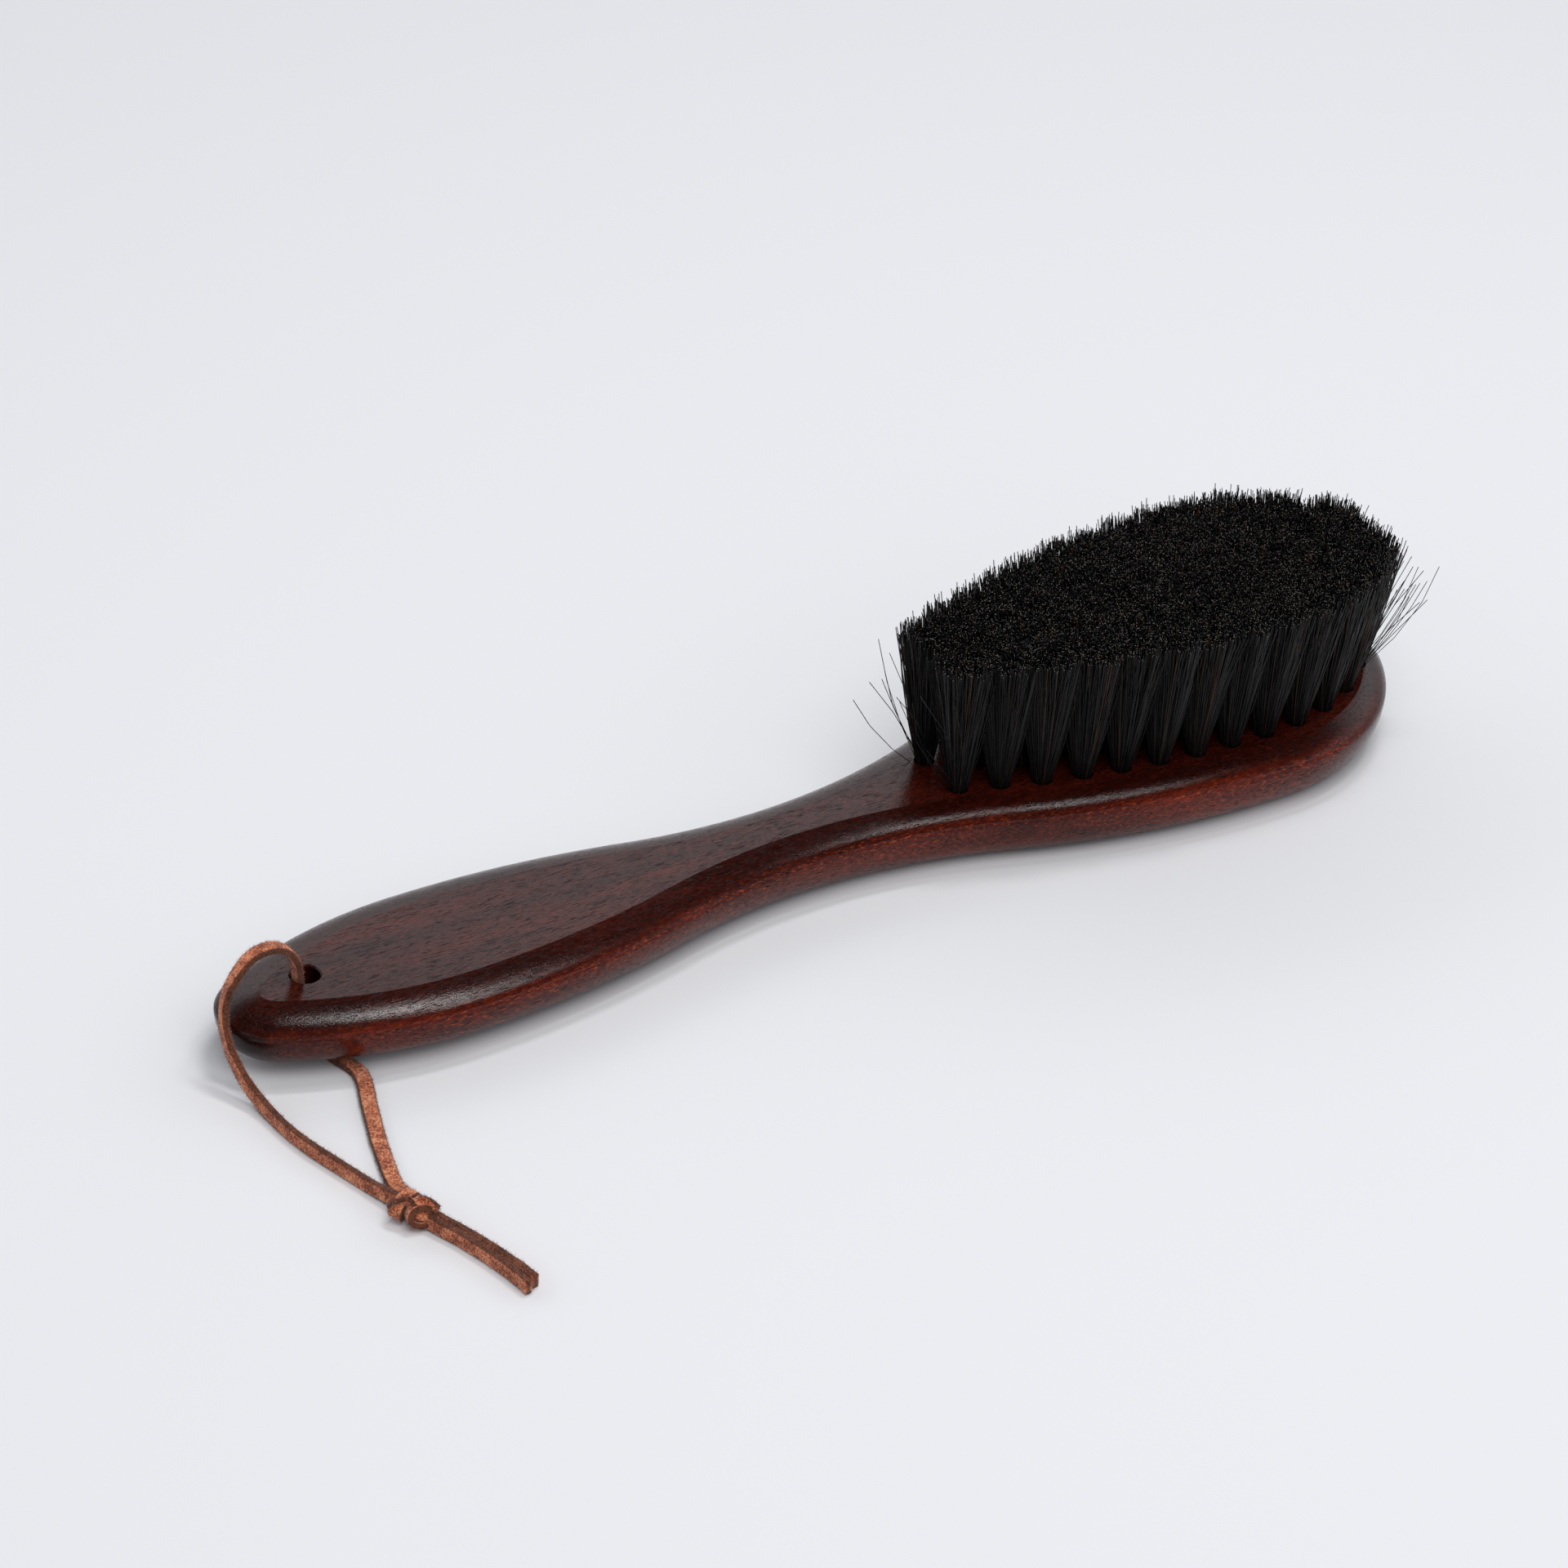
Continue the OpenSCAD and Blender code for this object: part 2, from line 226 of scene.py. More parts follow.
suede = makeSuede()


# The lace's routes repeat the points of the CAD solids: middle line, then the way that the width lies.

laceSettings = {
    "width": 3.0,
    "thickness": 1.4,
    "corner": 0.3,
    "cornerTurn": 30,  # degrees from one point of a corner to the next
    "steps": 6,  # from one point of a route to the next
    "waver": 0.05,
    "waverAlong": 0.35,
    "waverAround": 0.9,
    "lowest": 0.02,  # the lace doesn't sink into the table
}

holeRoute = [
    [(17.9, 2, 12.5), (0, 1, 0)],
    [(17.9, 2, 10), (0.2, 1, 0)],
    [(18.5, 1.8, 7.5), (0.7, 0.7, 0)],
    [(19, 1.6, 5), (1, 0.2, 0)],
    [(19.3, 1.4, 3), (1, 0, 0)],
    [(19.5, 0.8, 1.5), (1, 0, 0)],
    [(19.7, -0.7, 0.75), (1, 0, 0)],
    [(19.8, -3, 0.75), (1, 0, 0)]]
overRoute = [
    [(17.9, 2, 12.5), (0, 1, 0)],
    [(17.8, 2, 15), (0, 1, 0)],
    [(17, 2, 18.6), (0, 1, 0)],
    [(14.9, 1.9, 21.4), (0, 1, 0)],
    [(12, 1.7, 22.9), (0, 1, 0)],
    [(8.7, 1.5, 23), (0.1, 1, 0)],
    [(5.7, 1.1, 21.8), (0.2, 1, 0)],
    [(2.9, 0.4, 19.4), (0.2, 1, -0.1)],
    [(0.8, -0.5, 16.9), (0.2, 1, -0.3)],
    [(-0.5, -1.8, 14), (0.2, 0.9, -0.4)],
    [(-1.2, -3.6, 11.3), (0.1, 0.8, -0.6)],
    [(-1.5, -5.8, 8.8), (0.1, 0.7, -0.7)],
    [(-1.4, -8.4, 6.4), (0, 0.5, -0.8)],
    [(-1.1, -11.6, 4.2), (0, 0.4, -0.9)],
    [(-0.6, -15.6, 2.5), (0, 0.2, -1)],
    [(-0.3, -20.8, 1.7), (0, 0, -1)],
    [(0, -26.6, 1.6), (0, 0, -1)],
    [(1, -33.2, 1.6), (0, 0, -1)],
    [(2.7, -40.4, 1.6), (0, 0, -1)],
    [(4.7, -48.4, 1.6), (0, 0, -1)],
    [(7.2, -57.8, 2.6), (0, 0, -1)]]
underRoute = [
    [(19.8, -3, 0.75), (1, 0, 0)],
    [(19.9, -6, 0.75), (1, 0, 0)],
    [(20.4, -9.2, 0.75), (1, 0.2, 0)],
    [(21.2, -12.2, 0.75), (1, 0.2, 0)],
    [(21.6, -15.2, 0.75), (1, -0.1, 0)],
    [(20.9, -18.4, 0.75), (1, -0.4, 0)],
    [(19.6, -21.6, 0.75), (1, -0.4, 0)],
    [(18.2, -24.8, 0.75), (1, -0.4, 0)],
    [(16.8, -28.2, 0.75), (1, -0.4, 0)],
    [(15.4, -31.8, 0.75), (1, -0.4, 0)],
    [(13.9, -35.6, 0.75), (1, -0.4, 0)],
    [(12.5, -39.6, 0.75), (1, -0.4, 0)],
    [(11.2, -43.6, 0.75), (1, -0.4, 0)],
    [(9.9, -47.8, 0.8), (1, -0.4, 0)],
    [(9.2, -51.8, 1), (1, -0.4, 0.1)],
    [(9.1, -57.6, 2.2), (0.6, -0.2, 0.8)]]
nearTailRoute = [
    [(7.7, -61, 2), (0, 0, 1)],
    [(8.6, -63.6, 1.8), (0, 0, 1)],
    [(9.6, -66.6, 1.6), (0, 0, 1)],
    [(10.8, -70, 1.6), (0, 0, 1)],
    [(11.8, -73.9, 1.6), (0, 0, 1)],
    [(12.8, -78.1, 1.6), (0, 0, 1)],
    [(13.6, -82.3, 1.6), (0, 0, 1)],
    [(14.1, -86.2, 1.6), (0, 0, 1)],
    [(14.3, -89.2, 1.6), (0, 0, 1)]]
farTailRoute = [
    [(9.3, -60.7, 2), (0, 0, 1)],
    [(10.2, -63, 1.8), (0, 0, 1)],
    [(11.1, -65.8, 1.6), (0, 0, 1)],
    [(12.2, -69, 1.6), (0, 0, 1)],
    [(13.3, -72.8, 1.6), (0, 0, 1)],
    [(14.3, -76.6, 1.6), (0, 0, 1)],
    [(15.2, -80.6, 1.6), (0, 0, 1)],
    [(15.9, -84.6, 1.6), (0, 0, 1)],
    [(16.4, -88.2, 1.6), (0, 0, 1)]]


def thongSection():
    # a flat section with small round corners, and how far each point belongs to a cut edge, from 0 to 1
    a, b, c = laceSettings["width"] / 2, laceSettings["thickness"] / 2, laceSettings["corner"]
    points = []
    for sx, sy, start in ((1, 1, 0), (-1, 1, 90), (-1, -1, 180), (1, -1, 270)):
        for k in range(4):
            turn = math.radians(start + laceSettings["cornerTurn"] * k)
            points.append((sx * (a - c) + c * math.cos(turn), sy * (b - c) + c * math.sin(turn)))
        if start in (0, 180):
            points += [(sx * (a - c) * u, sy * b) for u in (0.5, 0, -0.5)]
        else:
            points.append((sx * a, 0))
    # the share rises from 0 to 1 over the middle half of a corner
    cut = [min(1, max(0, (abs(x) - a + 0.75 * c) / (0.5 * c))) for x, _ in points]
    return points, cut


def smoothRoute(route, closed):
    # a smooth line through the route's points, and the way that the width lies along it
    rows = [(Vector(p), Vector(w)) for p, w in route]
    n, steps = len(rows), laceSettings["steps"]
    line, lie = [], []
    for i in range(n if closed else n - 1):
        if closed:
            four = [rows[(i + k) % n] for k in (-1, 0, 1, 2)]
        else:
            four = [rows[min(max(i + k, 0), n - 1)] for k in (-1, 0, 1, 2)]
        for k in range(steps):
            line.append(spline(*[row[0] for row in four], k / steps))
            lie.append(spline(*[row[1] for row in four], k / steps))
    if not closed:
        line.append(rows[-1][0])
        lie.append(rows[-1][1])
    return line, lie


def sweepThong(name, route, closed=False, seed=0.0, slim=1.0):
    s = laceSettings
    line, lie = smoothRoute(route, closed)
    section, cut = thongSection()
    n = len(line)
    bm = bmesh.new()
    edgeLayer = bm.verts.layers.float.new("cutEdge")
    rings = []
    for i in range(n):
        if closed:
            before, after = line[i - 1], line[(i + 1) % n]
        else:
            before, after = line[max(i - 1, 0)], line[min(i + 1, n - 1)]
        ahead = (after - before).normalized()
        across = (lie[i] - lie[i].dot(ahead) * ahead).normalized()
        thick = ahead.cross(across)
        ring = []
        for (x, y), edge in zip(section, cut):
            around = s["waverAround"]
            rough = noise.noise(Vector((i * s["waverAlong"], x * around, y * around + seed)))
            grow = slim * (1 + s["waver"] * rough)
            place = line[i] + across * x * grow + thick * y * grow
            place.z = max(place.z, s["lowest"])
            vert = bm.verts.new(atBrush(*place))
            vert[edgeLayer] = edge
            ring.append(vert)
        rings.append(ring)
    for i in range(n if closed else n - 1):
        bridge(bm, rings[i], rings[(i + 1) % n])
    if not closed:
        for ring in (reversed(rings[0]), rings[-1]):
            cap = bmesh.ops.poke(bm, faces=[bm.faces.new(ring)])
            for vert in cap["verts"]:
                vert[edgeLayer] = 1
    bmesh.ops.recalc_face_normals(bm, faces=bm.faces)
    mesh = meshFrom(bm, name)
    mesh.shade_smooth()
    return newPiece(name, mesh, suede), [atBrush(*p) for p in line]


laceOver, overPath = sweepThong("laceOver", overRoute, seed=1)
laceUnder, underPath = sweepThong("laceUnder", underRoute, seed=2)
laceInHole, _ = sweepThong("laceInHole", holeRoute, seed=3)
tailNear, _ = sweepThong("tailNear", nearTailRoute, seed=4)
tailFar, _ = sweepThong("tailFar", farTailRoute, seed=5)


# The knot: a simple overhand knot, as bands of the same thong drawn tight round the pair. Its own middle is
# 0, 0, 0 here, its long way is x, and the two turns go round that.

knotSettings = {
    "middle": (7.0, -60.3, 3.0),
    "turn": -76,
    "coreSize": (3.6, 1.6, 1.4),
    "bandSlim": 0.86,
    "leftTurn": {"radiusY": 2.95, "radiusZ": 2.15, "tilt": 14, "lean": 10, "shift": -2.5},
    "rightTurn": {"radiusY": 2.3, "radiusZ": 1.9, "tilt": -28, "lean": -12, "shift": 1.9},
    "turnPoints": 10,
    "crossOver": [
        ((-3.2, -2.3, -0.2), (0.9, 0.5, 0)),
        ((-1.6, -1.9, 1.5), (0.7, 0.7, 0)),
        ((0.2, -0.6, 2.4), (0.7, 0.7, 0)),
        ((2.2, 0.9, 2.2), (0.7, 0.7, 0)),
        ((3.8, 2.1, 0.9), (0.9, 0.5, 0))],
}


def turnRoute(radiusY, radiusZ, tilt, lean, shift):
    # a closed turn of lace, tilted and leaned, and shifted along the knot
    rows = []
    spin = Matrix.Rotation(math.radians(tilt), 3, "Z") @ Matrix.Rotation(math.radians(lean), 3, "Y")
    for k in range(knotSettings["turnPoints"]):
        turn = 2 * math.pi * k / knotSettings["turnPoints"]
        spot = Vector((0, radiusY * math.cos(turn), radiusZ * math.sin(turn)))
        rows.append((spin @ spot + Vector((shift, 0, 0)), spin @ Vector((1, 0, 0))))
    return rows


def inKnot(rows):
    spin = Matrix.Rotation(math.radians(knotSettings["turn"]), 3, "Z")
    middle = Vector(knotSettings["middle"])
    return [(tuple(middle + spin @ Vector(p)), tuple(spin @ Vector(w))) for p, w in rows]


def joined(name, pieces):
    # a new piece with the meshes of all of these
    bm = bmesh.new()
    bm.verts.layers.float.new("cutEdge")
    for piece in pieces:
        bm.from_mesh(piece.data)
    return newPiece(name, meshFrom(bm, name), suede)


def makeKnot():
    s = knotSettings
    slim = s["bandSlim"]
    parts = [
        sweepThong("leftTurn", inKnot(turnRoute(**s["leftTurn"])), closed=True, seed=6, slim=slim)[0],
        sweepThong("rightTurn", inKnot(turnRoute(**s["rightTurn"])), closed=True, seed=7, slim=slim)[0],
        sweepThong("crossOver", inKnot(s["crossOver"]), seed=8, slim=slim)[0],
    ]
    core = bmesh.new()
    bmesh.ops.create_icosphere(core, subdivisions=3, radius=1)
    shape = Matrix.Diagonal((*[v * mm for v in s["coreSize"]], 1))
    turn = Matrix.Rotation(math.radians(s["turn"]), 4, "Z")
    place = Matrix.Translation(atBrush(*s["middle"])) @ turn @ shape
    bmesh.ops.transform(core, matrix=place, verts=core.verts)
    parts.append(newPiece("core", meshFrom(core, "core")))
    knot = joined("laceKnot", parts)
    for part in parts:
        bpy.data.objects.remove(part)
    knot.data.shade_smooth()
    return knot


laceKnot = makeKnot()


# The suede's loose fibres, most of them on the cut edges

napSettings = {
    "faceDensity": 5.0,  # fibres on a square millimetre of face
    "edgeDensity": 14.0,  # more of them on a cut edge
    "fibre": 0.5,
    "shortest": 0.3,  # of the fibre's length
    "longest": 1.7,
    "fibreThickness": 0.07,  # thicker than a real fibre, which is too fine to show
    "lean": 1.1,  # radians either way
    "twist": 3,
    "offTable": 0.4,  # no fibres below this height
    "seed": 3,
}


def napTree():
    s = napSettings
    tree, given = newGeometryTree("suedeNap", {
        "Face density": "NodeSocketFloat", "Edge density": "NodeSocketFloat", "Fibre": "NodeSocketFloat",
        "Fibre thickness": "NodeSocketFloat", "Seed": "NodeSocketInt"})
    cut = addNode(tree, "GeometryNodeInputNamedAttribute", {"data_type": "FLOAT"}, {"Name": "cutEdge"})
    density = addNode(tree, "ShaderNodeMath", {"operation": "MULTIPLY_ADD"},
                      links={0: cut, 1: given["Edge density"], 2: given["Face density"]})
    place = addNode(tree, "GeometryNodeInputPosition")
    height = addNode(tree, "ShaderNodeSeparateXYZ", links={0: place}).outputs["Z"]
    offTable = addNode(tree, "ShaderNodeMath", {"operation": "GREATER_THAN"}, {1: s["offTable"] * mm},
                       {0: height})
    points = addNode(tree, "GeometryNodeDistributePointsOnFaces",
                     links={"Mesh": given["Geometry"], "Density": density, "Seed": given["Seed"],
                            "Selection": offTable})
    fibre = addNode(tree, "GeometryNodeMeshCone", {"fill_type": "NONE"}, {"Vertices": 3, "Depth": 1.0},
                    {"Radius Bottom": given["Fibre thickness"]})
    share = addNode(tree, "FunctionNodeRandomValue", {"data_type": "FLOAT"},
                    {2: s["shortest"], 3: s["longest"]}, {"Seed": given["Seed"]}).outputs[1]
    tall = addNode(tree, "ShaderNodeMath", {"operation": "MULTIPLY"}, links={0: share, 1: given["Fibre"]})
    size = addNode(tree, "ShaderNodeCombineXYZ", values={0: 1, 1: 1}, links={2: tall})
    standing = addNode(tree, "GeometryNodeInstanceOnPoints",
                       links={"Points": points, "Instance": fibre, "Rotation": points.outputs["Rotation"],
                              "Scale": size})
    most = Vector((s["lean"], s["lean"], s["twist"]))
    tilt = addNode(tree, "FunctionNodeRandomValue", {"data_type": "FLOAT_VECTOR"}, {0: -most, 1: most},
                   {"Seed": given["Seed"]})
    leaning = addNode(tree, "GeometryNodeRotateInstances", links={"Instances": standing, "Rotation": tilt})
    solid = addNode(tree, "GeometryNodeRealizeInstances", links={0: leaning})
    painted = addNode(tree, "GeometryNodeSetMaterial", values={"Material": suede}, links={"Geometry": solid})
    addNode(tree, "NodeGroupOutput", links={0: painted})
    return tree


def makeNap():
    s = napSettings
    nap = joined("laceNap", [laceInHole, laceOver, laceUnder, laceKnot, tailNear, tailFar])
    growFrom(nap, napTree(), {
        "Face density": s["faceDensity"] / mm ** 2, "Edge density": s["edgeDensity"] / mm ** 2,
        "Fibre": s["fibre"] * mm, "Fibre thickness": s["fibreThickness"] / 2 * mm, "Seed": s["seed"]})
    return nap


laceNap = makeNap()
print("lace made,", len(laceNap.data.polygons) // 3, "nap fibres")


# Wood: beech stained mahogany and sprayed with clear lacquer. The lacquer is smooth and bright over a grain
# of fine dark pores and short flecks that run along the handle.

stockSettings = {
    "length": stockLength,
    "handleWidth": 41.5,
    "handleAt": 48,
    "waistWidth": 21.5,
    "waistAt": 130,
    "waistRadius": 128,
    "headWidth": 60.5,
    "headFromToe": 41,
    "buttRadius": 12,
    "toeRadius": 11,
    "thickness": 14,
    "widestHeight": 10,
    "backRound": 8.1,
    "shoulderHandle": 8.5,
    "shoulderHead": 5.2,
    "shoulderTurn": 45,
    "backLift": 1.9,
    "liftEnd": 150,
    "holeDiameter": 6,
    "holeAt": 19.5,
    "holeAside": 2,
    "holeChamfer": 0.3,
    "holeSides": 64,
    "holePast": 2,  # how far the cutter runs past a mouth
    "wallReach": 0.05,  # faces this close to the hole's radius are its wall
    "tuftHole": 4.4,
    "tuftDepth": 9,
    "tuftSides": 24,
    "tuftPast": 1,
    "tuftPitch": 8.2,
    "tuftInset": 10.4,
    "rows": 13,
    "rowPitch": 8.5,
    "lastRow": 10.5,
    "arcStep": 2.0,
    "backSteps": 14,
    "shoulderSteps": 12,
    "sharpAngle": 9,
}


def sideRadius(x, w, r):
    # the arc from an end's round to the widest place
    return (x ** 2 + w ** 2 - 2 * r * x) / (2 * (w - r))


def cheekRadius(dx, w, waist, hollow):
    # the arc from the widest place to the waist's hollow
    return (dx ** 2 + (waist + hollow - w) ** 2 - hollow ** 2) / (2 * (w - waist))


def bearing(a, b):
    return math.degrees(math.atan2(b[1] - a[1], b[0] - a[0]))


def stockOutline():
    # half the outline as seven tangent arcs: a point and the way that the edge faces
    s = stockSettings
    hw, ww, dw = s["handleWidth"] / 2, s["waistWidth"] / 2, s["headWidth"] / 2
    headAt = s["length"] - s["headFromToe"]
    butt, toe = (s["buttRadius"], 0), (s["length"] - s["toeRadius"], 0)
    waist = (s["waistAt"], ww + s["waistRadius"])
    heelR = sideRadius(s["handleAt"], hw, s["buttRadius"])
    gripR = cheekRadius(s["waistAt"] - s["handleAt"], hw, ww, s["waistRadius"])
    neckR = cheekRadius(headAt - s["waistAt"], dw, ww, s["waistRadius"])
    browR = sideRadius(s["headFromToe"], dw, s["toeRadius"])
    heel, grip = (s["handleAt"], hw - heelR), (s["handleAt"], hw - gripR)
    neck, brow = (headAt, dw - neckR), (headAt, dw - browR)
    arcs = [
        (butt, s["buttRadius"], 180, bearing(heel, butt), 1),
        (heel, heelR, bearing(heel, butt), 90, 1),
        (grip, gripR, 90, bearing(grip, waist), 1),
        (waist, s["waistRadius"], 180 + bearing(grip, waist), 180 + bearing(neck, waist), -1),
        (neck, neckR, bearing(neck, waist), 90, 1),
        (brow, browR, 90, bearing(brow, toe), 1),
        (toe, s["toeRadius"], bearing(brow, toe), 0, 1)]
    upper = []
    for centre, r, a, b, sign in arcs:
        n = max(6, round(abs(math.radians(b - a)) * r / s["arcStep"]))
        for i in range(n):
            t = math.radians(mix(a, b, i / n))
            upper.append(((centre[0] + r * math.cos(t), centre[1] + r * math.sin(t)),
                          (sign * math.cos(t), sign * math.sin(t))))
    upper.append(((s["length"], 0), (1, 0)))
    return upper


def halfWidth(upper, x):
    for (p, _), (q, _) in zip(upper, upper[1:]):
        if p[0] <= x <= q[0]:
            return mix(p[1], q[1], (x - p[0]) / (q[0] - p[0]))
    return 0


def tuftPlaces(upper):
    # the rows of tuft centres, as the CAD rows lie
    s = stockSettings
    rows = []
    for i in range(s["rows"]):
        x = s["length"] - s["lastRow"] - s["rowPitch"] * (s["rows"] - 1 - i)
        half = halfWidth(upper, x) - s["tuftInset"]
        count = max(2, math.floor(2 * half / s["tuftPitch"] + 0.5) + 1)
        rows.append([(x, mix(-half, half, k / (count - 1))) for k in range(count)])
    return rows


def backHeight(x):
    # the handle's back rises from the table towards its end
    return stockSettings["backLift"] * max(0, 1 - x / stockSettings["liftEnd"])


def sectionPlace(entry, k):
    # ring k of the section: the back's quarter round, then the soft shoulder up to the crisp edge of the face
    s = stockSettings
    (x, y), (nx, ny) = entry
    if k <= s["backSteps"]:
        low = backHeight(x)
        a = math.radians(90 * k / s["backSteps"])
        inset = s["backRound"] * (1 - math.sin(a))
        z = low + (s["widestHeight"] - low) * (1 - math.cos(a))
    else:
        end = math.radians(s["shoulderTurn"])
        a = end * (k - s["backSteps"]) / s["shoulderSteps"]
        width = mix(s["shoulderHandle"], s["shoulderHead"], x / s["length"])
        inset = width * (1 - math.cos(a)) / (1 - math.cos(end))
        z = s["widestHeight"] + (s["thickness"] - s["widestHeight"]) * math.sin(a) / math.sin(end)
    return atBrush(x - nx * inset, y - ny * inset, z)


def stockShape(upper):
    s = stockSettings
    lower = [((p[0], -p[1]), (n[0], -n[1])) for p, n in upper[-2:0:-1]]
    outline = upper + lower
    bm = bmesh.new()
    rings = []
    for k in range(s["backSteps"] + s["shoulderSteps"] + 1):
        rings.append([bm.verts.new(sectionPlace(entry, k)) for entry in outline])
    n = len(outline)
    for a, b in zip(rings, rings[1:]):
        for i in range(n):
            j = (i + 1) % n
            bm.faces.new((a[i], b[i], b[j], a[j]))
    bm.faces.new(rings[0])
    bm.faces.new(reversed(rings[-1]))
    bmesh.ops.recalc_face_normals(bm, faces=bm.faces)
    return meshFrom(bm, "stockShape")


def addBore(bm, x, y, profile, sides):
    # a closed cutter, turned from its radii and heights
    rings = []
    for r, z in profile:
        turns = [2 * math.pi * i / sides for i in range(sides)]
        rings.append([bm.verts.new(atBrush(x + r * math.cos(t), y + r * math.sin(t), z)) for t in turns])
    for a, b in zip(rings, rings[1:]):
        bridge(bm, a, b)
    bm.faces.new(reversed(rings[0]))
    bm.faces.new(rings[-1])


def boreShapes(rows):
    # the hanging hole, flared past both mouths for its chamfers, and a blind hole for each tuft
    s = stockSettings
    bm = bmesh.new()
    radius, chamfer, past = s["holeDiameter"] / 2, s["holeChamfer"], s["holePast"]
    mouth, top = backHeight(s["holeAt"]), s["thickness"]
    profile = [(radius + chamfer + past, mouth - past), (radius, mouth + chamfer),
               (radius, top - chamfer), (radius + chamfer + past, top + past)]
    addBore(bm, s["holeAt"], s["holeAside"], profile, s["holeSides"])
    profile = [(s["tuftHole"] / 2, top - s["tuftDepth"]), (s["tuftHole"] / 2, top + s["tuftPast"])]
    for row in rows:
        for x, y in row:
            addBore(bm, x, y, profile, s["tuftSides"])
    bmesh.ops.recalc_face_normals(bm, faces=bm.faces)
    return meshFrom(bm, "bores")


def makeStock(upper, rows):
    s = stockSettings
    stock = newPiece("woodStock", stockShape(upper))
    bores = newPiece("bores", boreShapes(rows))
    drill = stock.modifiers.new("drill", "BOOLEAN")
    drill.operation = "DIFFERENCE"
    drill.solver = "EXACT"
    drill.object = bores
    bakeModifiers(stock)
    bpy.data.objects.remove(bores)
    stock.data.shade_smooth()
    axis = atBrush(s["holeAt"], s["holeAside"], 0).xy
    reach = (s["holeDiameter"] / 2 + s["wallReach"]) * mm
    for face in stock.data.polygons:
        # the hanging hole's wall has the second material
        if (face.center.xy - axis).length < reach and abs(face.normal.z) < 0.5:
            face.material_index = 1
    stock.data.set_sharp_from_angle(angle=math.radians(s["sharpAngle"]))
    return stock


woodSettings = {
    "dark": "#300d09",
    "mid": "#4f170e",
    "light": "#742612",
    "fleck": "#ad4c1c",
    "pore": "#0f0706",
    # tones by the way the surface faces: partly stain and partly painted light; the shoulder's tone is a
    # painted shade
    "faceTone": 0.46,
    "shoulderShadeTone": 0.3,
    "endTone": 0.14,
    "fleckMost": 0.7,
    "broad": (45, 5, 5),  # cells in millimetres, long along the handle
    "mottle": (1.8, 0.6, 0.6),
    "fleckSize": (1.2, 0.4, 0.4),
    "poreSize": (2.6, 0.17, 0.17),  # wider than real beech pores, which are too fine to show
    "poreDip": 0.08,
    "peelSize": 0.3,  # finer than common orange peel, because the wood's texture shows through
    "peelDip": 0.06,
    "bump": 0.6,
    "glossLost": 0.8,  # over an open pore
}


